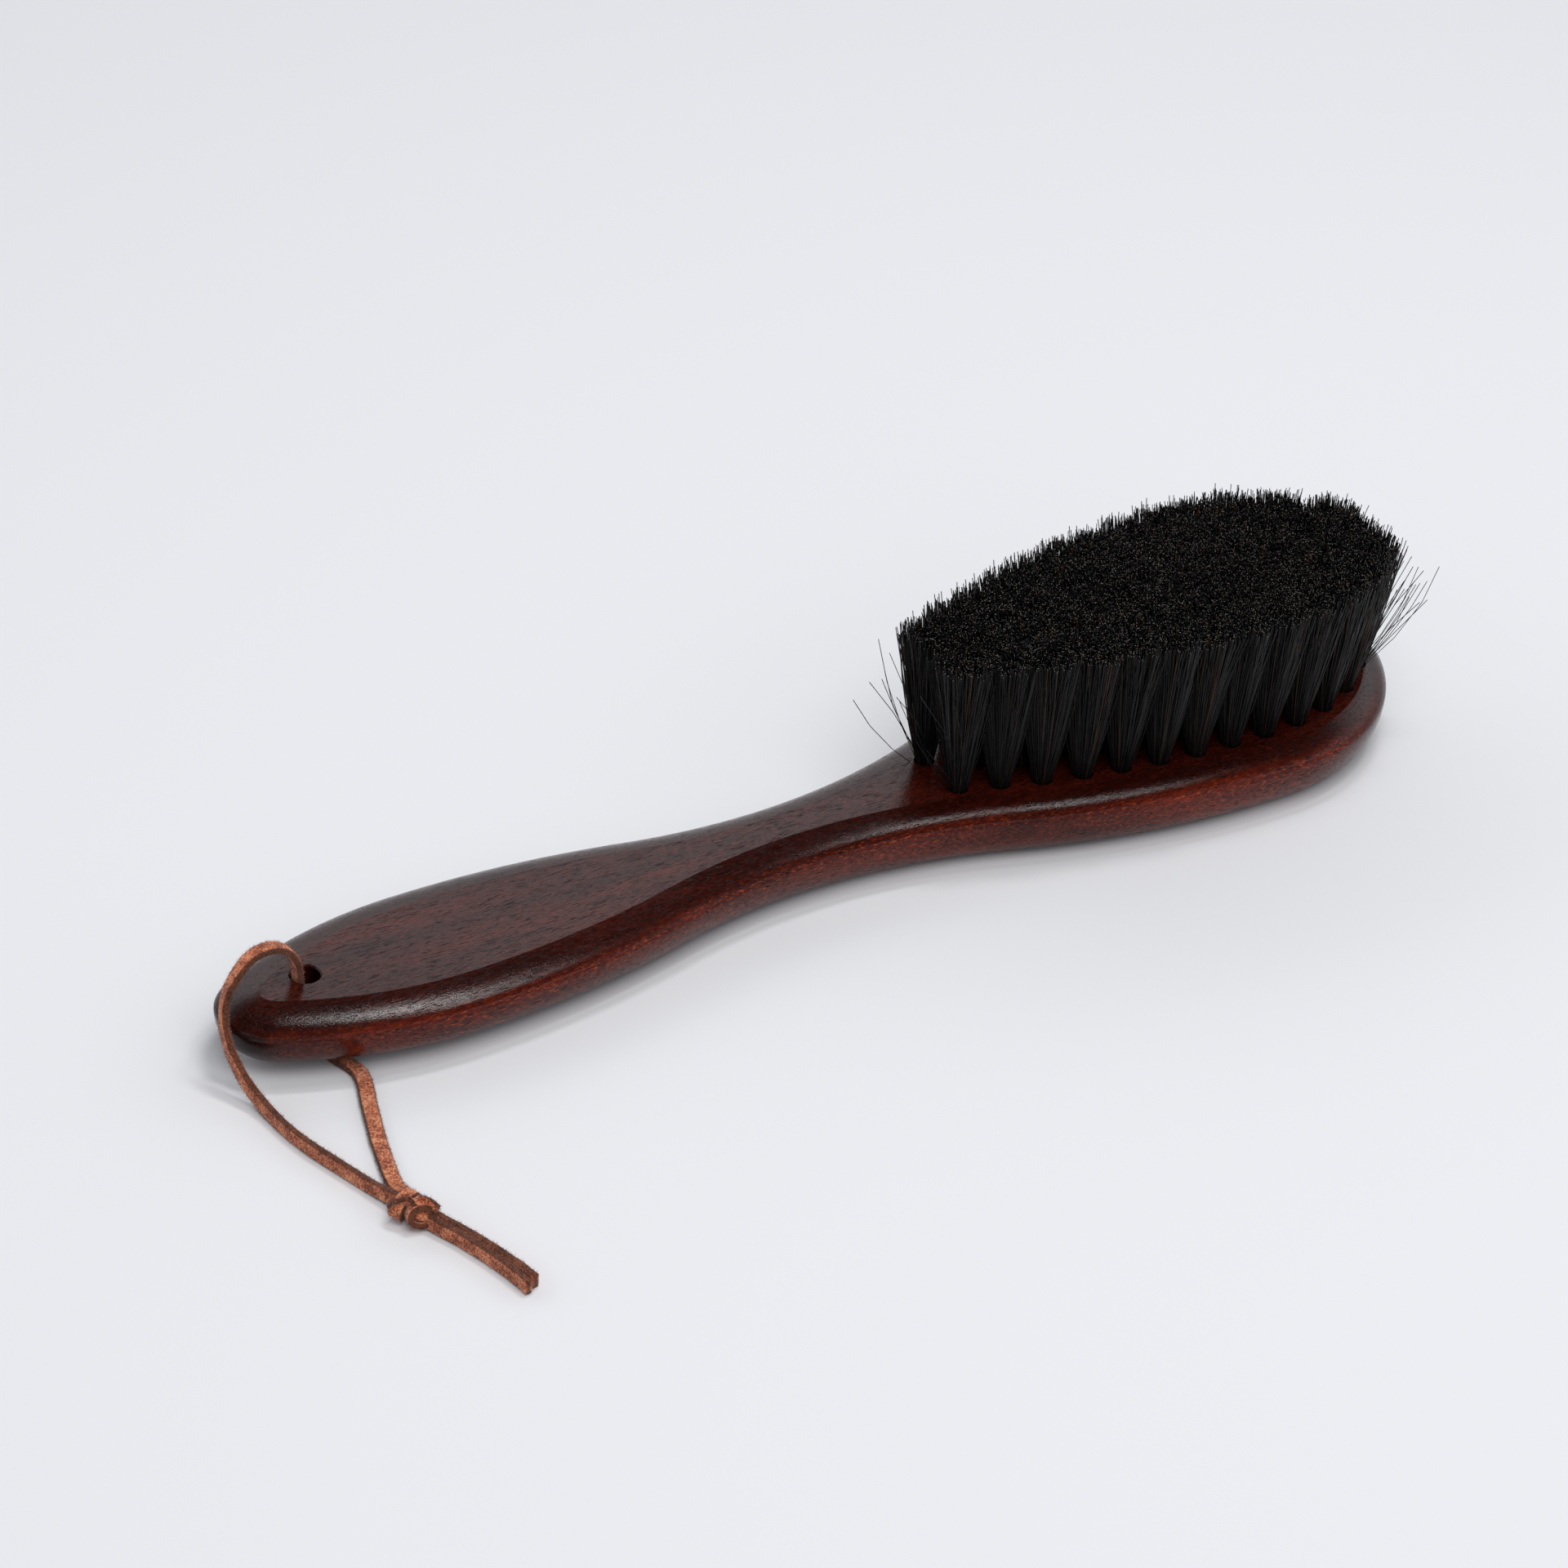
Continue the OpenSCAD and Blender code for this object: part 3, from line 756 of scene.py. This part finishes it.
def makeWood():
    material, tree = newMaterial("mahoganyStainedBeech")
    s = woodSettings
    coords = addNode(tree, "ShaderNodeTexCoord").outputs
    noises = {}
    for name, detail in (("broad", 5), ("mottle", 4), ("poreSize", 2), ("fleckSize", 3)):
        cells = addNode(tree, "ShaderNodeMapping", links={"Vector": coords["Object"]},
                        values={"Scale": tuple(1 / (size * mm) for size in s[name])})
        noises[name] = addNode(tree, "ShaderNodeTexNoise", links={"Vector": cells},
                               values={"Scale": 1, "Detail": detail, "Roughness": 0.6})
    broadPart = addNode(tree, "ShaderNodeMath", {"operation": "MULTIPLY"}, {1: 0.5}, {0: noises["broad"]})
    grain = addNode(tree, "ShaderNodeMath", {"operation": "MULTIPLY_ADD"}, {1: 0.5},
                    {0: noises["mottle"], 2: broadPart})
    base = addNode(tree, "ShaderNodeValToRGB", links={"Fac": grain}, stops=[
        (at, hexColour(s[name])) for at, name in ((0.36, "dark"), (0.5, "mid"), (0.66, "light"))])

    # the end grain takes more stain, and the sides show the rays as orange flecks; the tone by the way the
    # surface faces is partly stain and partly painted light, with the face darker, the sides lighter, and a
    # painted shade band along the shoulder just below the face's edge
    normal = addNode(tree, "ShaderNodeSeparateXYZ", links={0: coords["Normal"]}).outputs
    endness = addNode(tree, "ShaderNodeMath", {"operation": "ABSOLUTE"}, links={0: normal["X"]})
    tones = ((0.6, 1.0), (0.8, 0.7), (0.91, s["shoulderShadeTone"]), (0.97, s["shoulderShadeTone"]), (0.992, s["faceTone"]))
    stainAndShadeByFacing = addNode(tree, "ShaderNodeValToRGB", links={"Fac": normal["Z"]},
                     stops=[(at, (tone, tone, tone, 1)) for at, tone in tones])
    onEnd = addNode(tree, "ShaderNodeMapRange", links={"Value": endness},
                    values={"From Min": 0.15, "From Max": 0.75, "To Min": 1.0, "To Max": s["endTone"]})
    tone = addNode(tree, "ShaderNodeMath", {"operation": "MULTIPLY"}, links={0: stainAndShadeByFacing, 1: onEnd})
    fleck = addNode(tree, "ShaderNodeMapRange", links={"Value": noises["fleckSize"]},
                    values={"From Min": 0.54, "From Max": 0.7, "To Max": s["fleckMost"]})
    fleckHere = addNode(tree, "ShaderNodeMath", {"operation": "MULTIPLY"}, links={0: fleck, 1: tone})
    flecked = addNode(tree, "ShaderNodeMix", {"data_type": "RGBA"}, {7: hexColour(s["fleck"])},
                      {0: fleckHere, 6: base})
    stained = addNode(tree, "ShaderNodeVectorMath", {"operation": "SCALE"},
                      links={0: flecked.outputs[2], "Scale": tone})
    pore = addNode(tree, "ShaderNodeMapRange", values={"From Min": 0.59, "From Max": 0.64},
                   links={"Value": noises["poreSize"]})
    pored = addNode(tree, "ShaderNodeMix", {"data_type": "RGBA"}, {7: hexColour(s["pore"])},
                    {0: pore, 6: stained})

    # open pores and the lacquer's fine orange peel break the gloss up into specks
    dip = addNode(tree, "ShaderNodeBump", {"invert": True},
                  {"Strength": s["bump"], "Distance": s["poreDip"] * mm}, {"Height": pore})
    peel = addNode(tree, "ShaderNodeTexNoise", values={"Scale": 1 / (s["peelSize"] * mm), "Detail": 2},
                   links={"Vector": coords["Object"]})
    skin = addNode(tree, "ShaderNodeBump", values={"Strength": s["bump"], "Distance": s["peelDip"] * mm},
                   links={"Height": peel, "Normal": dip})
    filled = addNode(tree, "ShaderNodeMath", {"operation": "MULTIPLY_ADD"}, {1: -s["glossLost"], 2: 1.0},
                     {0: pore})
    shader = addNode(tree, "ShaderNodeBsdfPrincipled",
                     values={"Roughness": 0.6, "Specular IOR Level": 0.0,
                             "Coat Roughness": 0.1, "Coat IOR": 1.33},
                     links={"Coat Weight": filled, "Base Color": pored.outputs[2], "Normal": skin,
                            "Coat Normal": skin})
    addNode(tree, "ShaderNodeOutputMaterial", links={"Surface": shader})
    return material


boreSettings = {
    "dark": "#7a3418",
    "light": "#c87a3c",
    "fibre": 0.6,
}


def makeBore():
    # the drilled wall took little stain and no lacquer, so it is a dull orange-brown
    material, tree = newMaterial("drilledBeech")
    s = boreSettings
    coord = addNode(tree, "ShaderNodeTexCoord").outputs["Object"]
    fibre = addNode(tree, "ShaderNodeTexNoise", values={"Scale": 1 / (s["fibre"] * mm), "Detail": 3},
                    links={"Vector": coord})
    tone = addNode(tree, "ShaderNodeValToRGB", links={"Fac": fibre}, stops=[
        (0.4, hexColour(s["dark"])), (0.65, hexColour(s["light"]))])
    shader = addNode(tree, "ShaderNodeBsdfPrincipled", values={"Roughness": 0.75}, links={"Base Color": tone})
    addNode(tree, "ShaderNodeOutputMaterial", links={"Surface": shader})
    return material


upperOutline = stockOutline()
tuftRows = tuftPlaces(upperOutline)
woodStock = makeStock(upperOutline, tuftRows)
woodStock.data.materials.clear()
woodStock.data.materials.append(makeWood())
woodStock.data.materials.append(makeBore())
print("stock made")


# Bristles: black horsehair, each tuft folded over its anchor and trimmed level. Hair is smooth and round, so
# it glints along its length. Some up-facing cut ends get a painted pale glint, and a few strands are brown.

hairSettings = {
    "black": "#0c0a0a",
    "brown": "#54331f",
    # a painted pale glint on the up-facing cut ends of some hairs
    "endGlint": "#a39d95",
    "brownFrom": 0.94,  # hairs past this share of their random shade turn brown
    "perTuft": 600,
    "thickness": 0.21,  # a little thicker than real horsehair, and so there are fewer
    "rootDepth": 1.5,
    "freeLength": 30.0,
    "slope": 0.9,
    "rootRadius": 1.6,
    "fanRadius": 6.3,
    "opening": 1.05,
    "tipJitter": 1.6,
    "bow": 0.8,
    "uneven": 0.15,
    "tuftUneven": 0.5,
    "spike": 2.1,
    "spikeRarity": 10,
    "splay": 0.7,
    "points": 4,
    "sides": 3,
    "seedStep": 100,  # from row to row
}
strayHairs = {
    "perTuft": 9,
    "thickness": 0.18,
    "freeLength": 21.0,
    "fanRadius": 3.5,
    "tipJitter": 3.5,
    "bow": 2.0,
    "uneven": 7.0,
    "spike": 0.0,
    "splay": 10.0,
    "seed": 41,
}


def makeHair():
    material, tree = newMaterial("horsehair")
    s = hairSettings
    shade = addNode(tree, "ShaderNodeAttribute", {"attribute_name": "shade"}).outputs["Fac"]
    hue = addNode(tree, "ShaderNodeValToRGB", links={"Fac": shade}, stops=[
        (s["brownFrom"], hexColour(s["black"])), (1.0, hexColour(s["brown"]))])

    # a cut end is a face that looks up, and a share of them gets a painted pale glint
    facing = addNode(tree, "ShaderNodeNewGeometry").outputs["True Normal"]
    up = addNode(tree, "ShaderNodeSeparateXYZ", links={0: facing}).outputs["Z"]
    atEnd = addNode(tree, "ShaderNodeMapRange", values={"From Min": 0.75, "From Max": 0.9},
                    links={"Value": up})
    fewGlinting = addNode(tree, "ShaderNodeMapRange", values={"From Min": 0.55, "From Max": 0.95},
                      links={"Value": shade})
    glintShare = addNode(tree, "ShaderNodeMath", {"operation": "MULTIPLY"}, links={0: atEnd, 1: fewGlinting})
    colour = addNode(tree, "ShaderNodeMix", {"data_type": "RGBA"}, {7: hexColour(s["endGlint"])},
                     {0: glintShare, 6: hue})
    shader = addNode(tree, "ShaderNodeBsdfPrincipled", values={"Roughness": 0.42, "Specular IOR Level": 0.35},
                     links={"Base Color": colour.outputs[2]})
    addNode(tree, "ShaderNodeOutputMaterial", links={"Surface": shader})
    return material


def hairTree(material):
    # grows every tuft of a row from the point at its root
    s = hairSettings
    tree, given = newGeometryTree("tuftHair", {
        "Hairs per tuft": "NodeSocketInt", "Uneven": "NodeSocketFloat", "Spike": "NodeSocketFloat",
        "Root radius": "NodeSocketFloat", "Fan radius": "NodeSocketFloat", "Tip jitter": "NodeSocketFloat",
        "Bow": "NodeSocketFloat", "Thickness": "NodeSocketFloat", "Seed": "NodeSocketInt"})
    copies = addNode(tree, "GeometryNodeDuplicateElements", {"domain": "POINT"},
                     links={"Geometry": given["Geometry"], "Amount": given["Hairs per tuft"]})
    draws = {}
    ranges = {"angle": (0, 2 * math.pi), "out": (0, 1), "tipX": (-1, 1), "tipY": (-1, 1), "bowX": (-1, 1),
              "bowY": (-1, 1), "uneven": (-1, 1), "spike": (0, 1), "shade": (0, 1)}
    for more, (name, (low, high)) in enumerate(ranges.items()):
        seed = addNode(tree, "ShaderNodeMath", {"operation": "ADD"}, {1: more}, {0: given["Seed"]})
        draws[name] = addNode(tree, "FunctionNodeRandomValue", {"data_type": "FLOAT"}, {2: low, 3: high},
                              {"Seed": seed}).outputs[1]

    # a hair's place in the round of its tuft, even over the disc
    out = addNode(tree, "ShaderNodeMath", {"operation": "SQRT"}, links={0: draws["out"]})
    east = addNode(tree, "ShaderNodeMath", {"operation": "COSINE"}, links={0: draws["angle"]})
    north = addNode(tree, "ShaderNodeMath", {"operation": "SINE"}, links={0: draws["angle"]})
    rim = addNode(tree, "ShaderNodeCombineXYZ", links={0: east, 1: north})
    disc = addNode(tree, "ShaderNodeVectorMath", {"operation": "SCALE"}, links={0: rim, "Scale": out})
    anyTip = addNode(tree, "ShaderNodeCombineXYZ", links={0: draws["tipX"], 1: draws["tipY"]})
    anyBow = addNode(tree, "ShaderNodeCombineXYZ", links={0: draws["bowX"], 1: draws["bowY"]})
    scaled = {}
    for name, source, amount in (("root", disc, "Root radius"), ("fan", disc, "Fan radius"),
                                 ("jitter", anyTip, "Tip jitter"), ("bow", anyBow, "Bow")):
        scaled[name] = addNode(tree, "ShaderNodeVectorMath", {"operation": "SCALE"},
                               links={0: source, "Scale": given[amount]})
    lean = addNode(tree, "GeometryNodeInputNamedAttribute", {"data_type": "FLOAT_VECTOR"}, {"Name": "lean"})
    tuftTip = addNode(tree, "ShaderNodeVectorMath", {"operation": "ADD"}, links={0: lean, 1: scaled["fan"]})
    tip = addNode(tree, "ShaderNodeVectorMath", {"operation": "ADD"}, links={0: tuftTip, 1: scaled["jitter"]})

    # trimmed height, with a few hairs left standing
    tuftHeight = addNode(tree, "GeometryNodeInputNamedAttribute", {"data_type": "FLOAT"}, {"Name": "tall"})
    trimmed = addNode(tree, "ShaderNodeMath", {"operation": "MULTIPLY_ADD"},
                      links={0: draws["uneven"], 1: given["Uneven"], 2: tuftHeight})
    rare = addNode(tree, "ShaderNodeMath", {"operation": "POWER"}, {1: s["spikeRarity"]}, {0: draws["spike"]})
    tall = addNode(tree, "ShaderNodeMath", {"operation": "MULTIPLY_ADD"},
                   links={0: rare, 1: given["Spike"], 2: trimmed})
    stored = copies
    for name, kind, value in (("root", "FLOAT_VECTOR", scaled["root"]), ("tip", "FLOAT_VECTOR", tip),
                              ("bow", "FLOAT_VECTOR", scaled["bow"]), ("shade", "FLOAT", draws["shade"])):
        stored = addNode(tree, "GeometryNodeStoreNamedAttribute", {"data_type": kind, "domain": "POINT"},
                         {"Name": name}, {"Geometry": stored, "Value": value})
    straight = addNode(tree, "GeometryNodeCurvePrimitiveLine", values={"Start": (0, 0, 0), "End": (0, 0, 1)})
    strand = addNode(tree, "GeometryNodeResampleCurve", values={"Count": s["points"]},
                     links={"Curve": straight})
    size = addNode(tree, "ShaderNodeCombineXYZ", values={0: 1, 1: 1}, links={2: tall})
    planted = addNode(tree, "GeometryNodeInstanceOnPoints",
                      links={"Points": stored, "Instance": strand, "Scale": size})
    curves = addNode(tree, "GeometryNodeRealizeInstances", links={0: planted})

    # each hair runs from its root to its tip with a bow between
    along = addNode(tree, "GeometryNodeSplineParameter").outputs["Factor"]
    kept = {}
    for name in ("root", "tip", "bow"):
        kept[name] = addNode(tree, "GeometryNodeInputNamedAttribute", {"data_type": "FLOAT_VECTOR"},
                             {"Name": name})
    opened = addNode(tree, "ShaderNodeMath", {"operation": "POWER"}, {1: s["opening"]}, {0: along})
    spread = addNode(tree, "ShaderNodeMix", {"data_type": "VECTOR"},
                     links={0: opened, 4: kept["root"], 5: kept["tip"]})
    back = addNode(tree, "ShaderNodeMath", {"operation": "SUBTRACT"}, {0: 1.0}, {1: along})
    arch = addNode(tree, "ShaderNodeMath", {"operation": "MULTIPLY"}, links={0: along, 1: back})
    hump = addNode(tree, "ShaderNodeMath", {"operation": "MULTIPLY"}, {1: 4.0}, {0: arch})
    bowed = addNode(tree, "ShaderNodeVectorMath", {"operation": "SCALE"},
                    links={0: kept["bow"], "Scale": hump})
    move = addNode(tree, "ShaderNodeVectorMath", {"operation": "ADD"}, links={0: spread.outputs[1], 1: bowed})
    placed = addNode(tree, "GeometryNodeSetPosition", links={"Geometry": curves, "Offset": move})
    radius = addNode(tree, "ShaderNodeMath", {"operation": "MULTIPLY"}, {1: 0.5}, {0: given["Thickness"]})
    ring = addNode(tree, "GeometryNodeCurvePrimitiveCircle", {"mode": "RADIUS"}, {"Resolution": s["sides"]},
                   {"Radius": radius})
    hairs = addNode(tree, "GeometryNodeCurveToMesh", values={"Fill Caps": True},
                    links={"Curve": placed, "Profile Curve": ring})
    solid = addNode(tree, "GeometryNodeRealizeInstances", links={0: hairs})
    painted = addNode(tree, "GeometryNodeSetMaterial", values={"Material": material},
                      links={"Geometry": solid})
    addNode(tree, "NodeGroupOutput", links={0: painted})
    return tree


def makeTufts(name, row, block, tree, h):
    # tufts lean and shorten by their place in the block: its middle, half its length and half its width
    mesh = bpy.data.meshes.new(name)
    low = stockSettings["thickness"] - h["rootDepth"]
    mesh.from_pydata([atBrush(x, y, low) for x, y in row], [], [])
    mesh.attributes.new("lean", "FLOAT_VECTOR", "POINT")
    mesh.attributes.new("tall", "FLOAT", "POINT")
    middle, halfX, halfY = block
    draw = random.Random(h["seed"])
    for spot, length, (x, y) in zip(mesh.attributes["lean"].data, mesh.attributes["tall"].data, row):
        u, v = (x - middle) / halfX, y / halfY
        spot.vector = (u * h["splay"] * mm, v * h["splay"] * mm, 0)
        trim = draw.uniform(-1, 1) * h["tuftUneven"]
        length.value = (h["rootDepth"] + h["freeLength"] - u * h["slope"] + trim) * mm
    piece = newPiece(name, mesh)
    growFrom(piece, tree, {
        "Hairs per tuft": h["perTuft"], "Uneven": h["uneven"] * mm, "Spike": h["spike"] * mm,
        "Root radius": h["rootRadius"] * mm, "Fan radius": h["fanRadius"] * mm,
        "Tip jitter": h["tipJitter"] * mm, "Bow": h["bow"] * mm, "Thickness": h["thickness"] * mm,
        "Seed": h["seed"]})
    return piece


growth = hairTree(makeHair())
firstX, lastX = tuftRows[0][0][0], tuftRows[-1][0][0]
halfBlock = stockSettings["headWidth"] / 2 - stockSettings["tuftInset"]
block = ((firstX + lastX) / 2, (lastX - firstX) / 2, halfBlock)
tufts = []
for number, row in enumerate(tuftRows, 1):
    seed = hairSettings["seedStep"] * number
    tufts.append(makeTufts(f"tufts{number:02d}", row, block, growth, {**hairSettings, "seed": seed}))
# loose hairs lean out of both ends, and twice as many at the toe
looseRow = tuftRows[0] + tuftRows[-1] + tuftRows[-1]
strays = makeTufts("strayHairs", looseRow, block, growth, {**hairSettings, **strayHairs})
print("bristles made,", sum(len(t.data.polygons) for t in tufts), "faces")


# Anchors: flat drawn steel wire, bright and bare, with fine scratches from the die

steelSettings = {
    "colour": "#b4b4b8",
    "scratch": 0.25,
    "smooth": 0.25,
    "rough": 0.45,
}


def makeSteel():
    material, tree = newMaterial("drawnSteelWire")
    s = steelSettings
    coord = addNode(tree, "ShaderNodeTexCoord").outputs["Object"]
    scratch = addNode(tree, "ShaderNodeTexNoise", values={"Scale": 1 / (s["scratch"] * mm), "Detail": 2},
                      links={"Vector": coord})
    rough = addNode(tree, "ShaderNodeMapRange", values={"To Min": s["smooth"], "To Max": s["rough"]},
                    links={"Value": scratch})
    shader = addNode(tree, "ShaderNodeBsdfPrincipled", links={"Roughness": rough},
                     values={"Base Color": hexColour(s["colour"]), "Metallic": 1.0})
    addNode(tree, "ShaderNodeOutputMaterial", links={"Surface": shader})
    return material


steel = makeSteel()
for name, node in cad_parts.items():
    if name.startswith("anchor_row"):
        node.data.materials.clear()
        node.data.materials.append(steel)


# Floor, backdrop colour and lights

studio = {
    "floorLight": "#d8d8da",  # what the floor sends on to the brush
    "floorSeen": "#e6e7ea",  # what the camera and the lacquer see of it
    "floorReach": 6,  # metres from its middle to an edge
    "sky": "#f1f2f6",
    "backdrop": 1.6,
    "horizon": 0.7,
    "ceiling": 0.08,
    "front": 0.6,
    "farWay": (0.3, 0.95, 0),  # from the camera to the far side
    "lights": [
        {"name": "frontCloth", "place": (-0.3, -1.0, 2.0), "turn": (26, -8, 0), "size": (1.5, 1.4),
         "power": 23.0, "gloss": False},
        {"name": "stripBox", "place": (0.25, 0.12, 1.15), "turn": (-6, 12, -31), "size": (0.3, 0.11),
         "power": 3.0, "gloss": True},
        {"name": "headBox", "place": (0.4, -0.14, 1.15), "turn": (7, 20, 0), "size": (0.22, 0.1),
         "power": 1.3, "gloss": True},
    ],
}


def makeFloor():
    bm = bmesh.new()
    bmesh.ops.create_grid(bm, x_segments=1, y_segments=1, size=studio["floorReach"])
    mesh = meshFrom(bm, "floor")
    material, tree = newMaterial("paintedFloor")
    rays = addNode(tree, "ShaderNodeLightPath").outputs
    seen = addNode(tree, "ShaderNodeMath", {"operation": "MAXIMUM"},
                   links={0: rays["Is Camera Ray"], 1: rays["Is Glossy Ray"]})
    colour = addNode(tree, "ShaderNodeMix", {"data_type": "RGBA"}, links={0: seen},
                     values={6: hexColour(studio["floorLight"]), 7: hexColour(studio["floorSeen"])})
    shader = addNode(tree, "ShaderNodeBsdfDiffuse", links={"Color": colour.outputs[2]})
    addNode(tree, "ShaderNodeOutputMaterial", links={"Surface": shader})
    newPiece("floor", mesh, material)


def makeBackdrop():
    # a pale band part way up all round, dimmer towards the camera. Below it the horizon is darker, because
    # the wood's far shoulder mirrors it, and overhead only the lamps show in the lacquer.
    world = bpy.data.worlds.new("studio")
    world.use_nodes = True
    tree = world.node_tree
    tree.nodes.clear()
    soft = {"interpolation_type": "SMOOTHSTEP"}
    way = addNode(tree, "ShaderNodeTexCoord").outputs["Generated"]
    height = addNode(tree, "ShaderNodeSeparateXYZ", links={0: way}).outputs["Z"]
    facing = addNode(tree, "ShaderNodeVectorMath", {"operation": "DOT_PRODUCT"}, {1: studio["farWay"]},
                     {0: way}).outputs["Value"]
    rise = addNode(tree, "ShaderNodeMapRange", soft, links={"Value": height},
                   values={"From Min": 0.2, "From Max": 0.5, "To Min": studio["horizon"],
                           "To Max": studio["backdrop"]})
    low = addNode(tree, "ShaderNodeMapRange", soft, links={"Value": height, "To Max": rise},
                  values={"From Min": 0.7, "From Max": 0.6, "To Min": studio["ceiling"]})
    far = addNode(tree, "ShaderNodeMapRange", soft, links={"Value": facing},
                  values={"From Min": -0.2, "From Max": 0.6, "To Min": studio["front"], "To Max": 1.0})
    strength = addNode(tree, "ShaderNodeMath", {"operation": "MULTIPLY"}, links={0: low, 1: far})
    background = addNode(tree, "ShaderNodeBackground", values={"Color": hexColour(studio["sky"])},
                         links={"Strength": strength})
    addNode(tree, "ShaderNodeOutputWorld", links={"Surface": background})
    bpy.context.scene.world = world


def makeLights():
    for lamp in studio["lights"]:
        data = bpy.data.lights.new(lamp["name"], "AREA")
        data.shape = "RECTANGLE"
        data.size, data.size_y = lamp["size"]
        data.energy = lamp["power"]
        light = bpy.data.objects.new(lamp["name"], data)
        bpy.context.scene.collection.objects.link(light)
        light.location = lamp["place"]
        light.rotation_euler = [math.radians(angle) for angle in lamp["turn"]]
        light.visible_glossy = lamp["gloss"]


makeFloor()
makeBackdrop()
makeLights()
bpy.context.scene.view_settings.view_transform = "Standard"
print("studio made")


# What each piece stands for, and what it is

for piece, node, slot in [(woodStock, "stock", "lacquered_wood"), (laceInHole, "lace_in_hole", "suede"),
                          (laceOver, "lace_over", "suede"), (laceUnder, "lace_under", "suede"),
                          (laceKnot, "lace_knot", "suede"), (tailNear, "lace_tail_near", "suede"),
                          (tailFar, "lace_tail_far", "suede")]:
    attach(piece, "root")
    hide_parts(node)
for number, piece in enumerate(tufts, 1):
    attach(piece, "root")
    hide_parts(f"tuft_row_{number:02d}")
for piece, slot in ((strays, "horsehair"), (laceNap, "suede")):
    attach(piece, "root")
